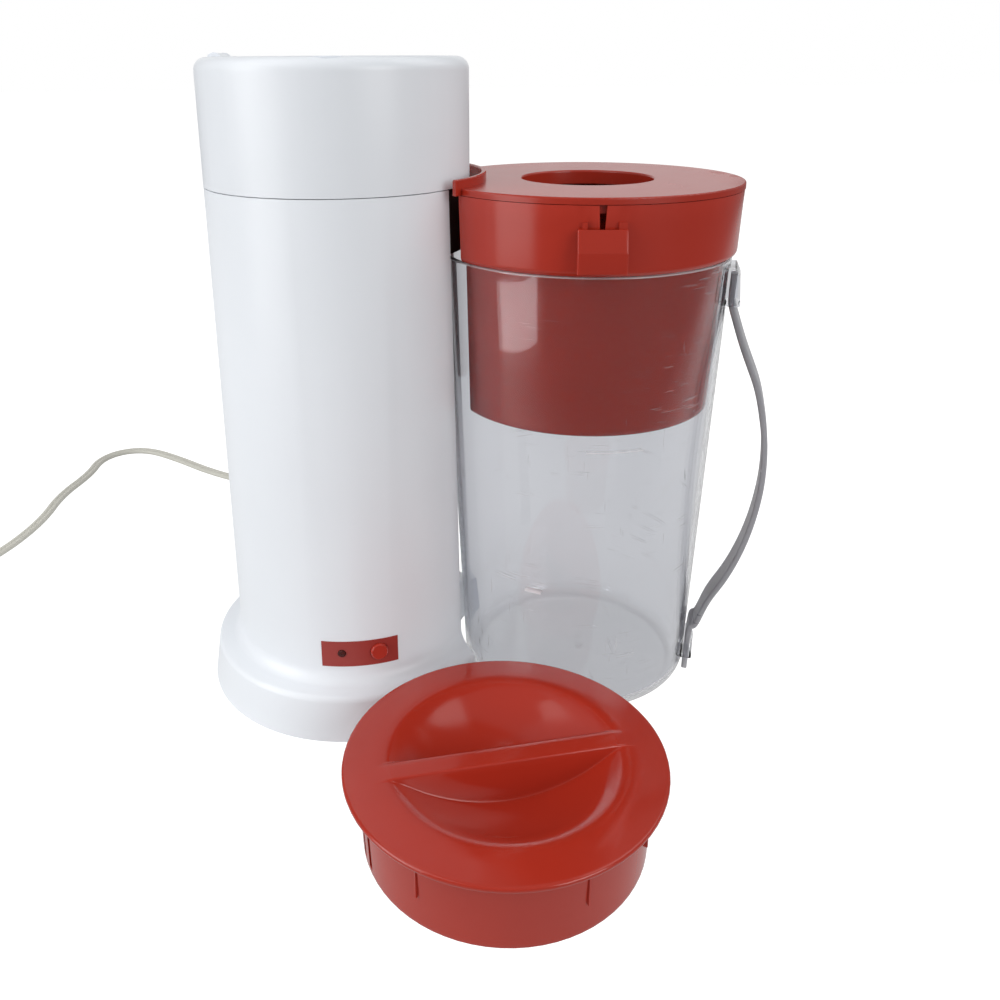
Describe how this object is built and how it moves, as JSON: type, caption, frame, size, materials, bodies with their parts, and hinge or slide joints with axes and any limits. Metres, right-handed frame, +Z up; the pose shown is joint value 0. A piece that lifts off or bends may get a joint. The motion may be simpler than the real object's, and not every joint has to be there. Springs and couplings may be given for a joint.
{
  "type": "iced tea maker",
  "caption": "White electric tea brewing tower docked with a clear straight-sided pitcher that carries a red brew basket, its cover and a strap handle, with a separate red serving lid.",
  "frame": {"origin": "on the tower's axis at the table, at the centre pad under the foot", "axes": "+Z up, +X to the pitcher's side, +Y to the back where the cord leaves"},
  "size_m": [0.509, 0.5364, 0.3285],
  "materials": {
    "tower_shell": "smooth white moulded plastic",
    "tower_cap": "smooth white moulded plastic",
    "base_plate": "fine matte white plastic",
    "soft_feet": "grey-black rubber",
    "screw_steel": "bright zinc",
    "control_strip": "dark red moulded plastic",
    "button_red": "red moulded plastic",
    "lens_red": "dark red clear plastic",
    "lamp_glass": "small neon lamp",
    "switch_black": "black moulded plastic",
    "tank_plastic": "natural white plastic",
    "heater_aluminium": "as cast",
    "pipe_aluminium": "drawn tube",
    "element_steel": "heat-tinted steel",
    "bracket_steel": "zinc plated sheet",
    "thermostat_body": "dark phenolic",
    "fuse_metal": "bright metal",
    "wire_white": "soft white insulation",
    "hose_silicone": "milky silicone",
    "valve_ball": "white plastic",
    "clamp_steel": "spring steel",
    "spout_plastic": "white plastic",
    "shroud_black": "black moulded plastic",
    "fill_lid": "smooth white moulded plastic",
    "pin_steel": "bright steel",
    "clear_pitcher": "clear styrene with fine scratches",
    "strap_white": "flexible translucent white plastic",
    "basket_red": "smooth red moulded plastic",
    "slider_red": "smooth red moulded plastic",
    "cover_red": "satin red moulded plastic",
    "serving_red": "satin red moulded plastic",
    "relief_cream": "soft cream plastic",
    "cord_cream": "soft cream two-wire lead",
    "plug_cream": "cream moulded plastic",
    "blade_brass": "plated brass"
  },
  "bodies": {
    "tower": {"tower_housing": "tower_shell", "tower_cap": "tower_cap", "base_plate": "base_plate", "rubber_feet": "soft_feet", "base_screws": "screw_steel", "control_panel": "control_strip", "indicator_lens": "lens_red", "indicator_lamp": "lamp_glass", "power_switch": "switch_black", "water_tank": "tank_plastic", "heater_pipe": "pipe_aluminium", "heating_element": "element_steel", "heater_casting": "heater_aluminium", "heater_bracket": "bracket_steel", "bracket_screws": "screw_steel", "thermostat": "thermostat_body", "thermal_fuse": "fuse_metal", "lead_wires": "wire_white", "inlet_hose": "hose_silicone", "riser_hose": "hose_silicone", "check_valve_ball": "valve_ball", "hose_clamps": "clamp_steel", "water_spout": "spout_plastic", "spout_shroud": "shroud_black", "hinge_pin": "pin_steel", "strain_relief": "relief_cream", "power_cord": "cord_cream", "plug_body": "plug_cream", "plug_blades": "blade_brass"},
    "pitcher": {"pitcher": "clear_pitcher", "handle_strap": "strap_white"},
    "basket": {"brew_basket": "basket_red"},
    "slider": {"strength_slider": "slider_red"},
    "cover": {"basket_cover": "cover_red"},
    "button": {"push_button": "button_red"},
    "fill_lid": {"fill_lid": "fill_lid"},
    "serving_lid": {"serving_lid": "serving_red"}
  },
  "joints": [
    {"name": "pitcher_slide", "type": "slide", "parent": "tower", "child": "pitcher", "axis": [0.9963, -0.0854, 0], "range_m": [0, 0.16]},
    {"name": "basket_lift", "type": "slide", "parent": "pitcher", "child": "basket", "axis": [0, 0, 1], "range_m": [0, 0.1]},
    {"name": "strength_slide", "type": "slide", "parent": "basket", "child": "slider", "axis": [0, 0, 1], "range_m": [0, 0.009]},
    {"name": "cover_lift", "type": "slide", "parent": "basket", "child": "cover", "axis": [0, 0, 1], "range_m": [0, 0.08]},
    {"name": "button_press", "type": "slide", "parent": "tower", "child": "button", "axis": [-0.1668, 0.986, 0], "range_m": [0, 0.002], "stiffness_N_per_m": 800},
    {"name": "fill_lid_hinge", "type": "hinge", "parent": "tower", "child": "fill_lid", "pos_m": [-0.0533, 0.00457, 0.325], "axis": [-0.0854, -0.9963, 0], "range_deg": [0, 100]},
    {"name": "serving_lid_lift", "type": "slide", "parent": "tower", "child": "serving_lid", "axis": [0, 0, 1], "range_m": [0, 0.15]}
  ]
}
